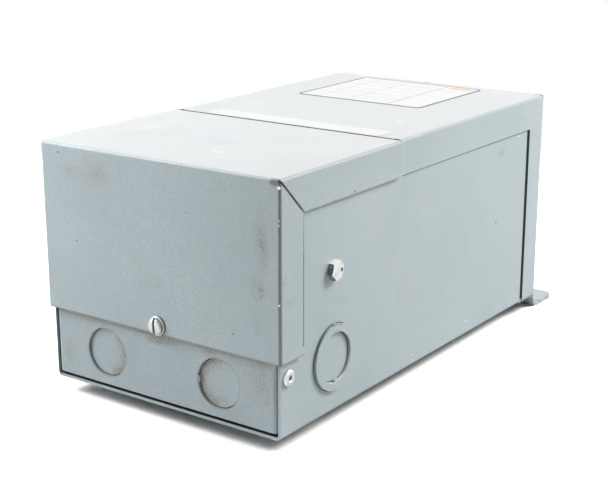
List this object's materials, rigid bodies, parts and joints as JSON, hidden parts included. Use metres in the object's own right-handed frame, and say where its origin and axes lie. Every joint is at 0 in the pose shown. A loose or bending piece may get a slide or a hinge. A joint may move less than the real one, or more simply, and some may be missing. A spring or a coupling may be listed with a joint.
{
  "type": "buck-boost transformer",
  "caption": "Small encapsulated transformer in a wall-mounting painted sheet steel box, with a removable wiring cover, conduit knockouts and a stepped mounting foot.",
  "frame": {"origin": "centre of the four mounting holes, in the plane of the wall that the pads and the foot rest against", "axes": "+X across the width, +Y from the wiring end to the mounting foot, +Z away from the wall, out of the front covers"},
  "size_m": [0.132, 0.2616, 0.1172],
  "materials": {
    "body_paint": "satin grey enamel on folded steel, scuffed at the edges, with rust stains",
    "cover_paint": "satin grey enamel on folded steel, chipped and rust-stained at the folds",
    "potting_compound": "matt black sand-filled resin",
    "zinc_plate": "dull zinc plate",
    "rivet_aluminium": "bright aluminium",
    "rating_label": "white printed foil, blank, with a thin grey border",
    "notice_label": "white adhesive strip, blank"
  },
  "bodies": {
    "root": {"case_body": "body_paint", "end_panel": "body_paint", "divider_panel": "body_paint", "potted_core": "potting_compound", "main_cover": "cover_paint", "wiring_cover": "cover_paint", "end_knockout_left": "body_paint", "end_knockout_right": "body_paint", "side_knockout_ring_left": "body_paint", "side_knockout_ring_right": "body_paint", "side_knockout_disc_left": "body_paint", "side_knockout_disc_right": "body_paint", "end_panel_rivet_left": "rivet_aluminium", "end_panel_rivet_right": "rivet_aluminium", "side_bolt_left": "zinc_plate", "side_bolt_right": "zinc_plate", "side_bolt_nut_left": "zinc_plate", "side_bolt_nut_right": "zinc_plate", "cover_screw": "zinc_plate", "cover_screw_clip": "zinc_plate", "rating_plate": "rating_label", "notice_strip": "notice_label"}
  },
  "joints": []
}
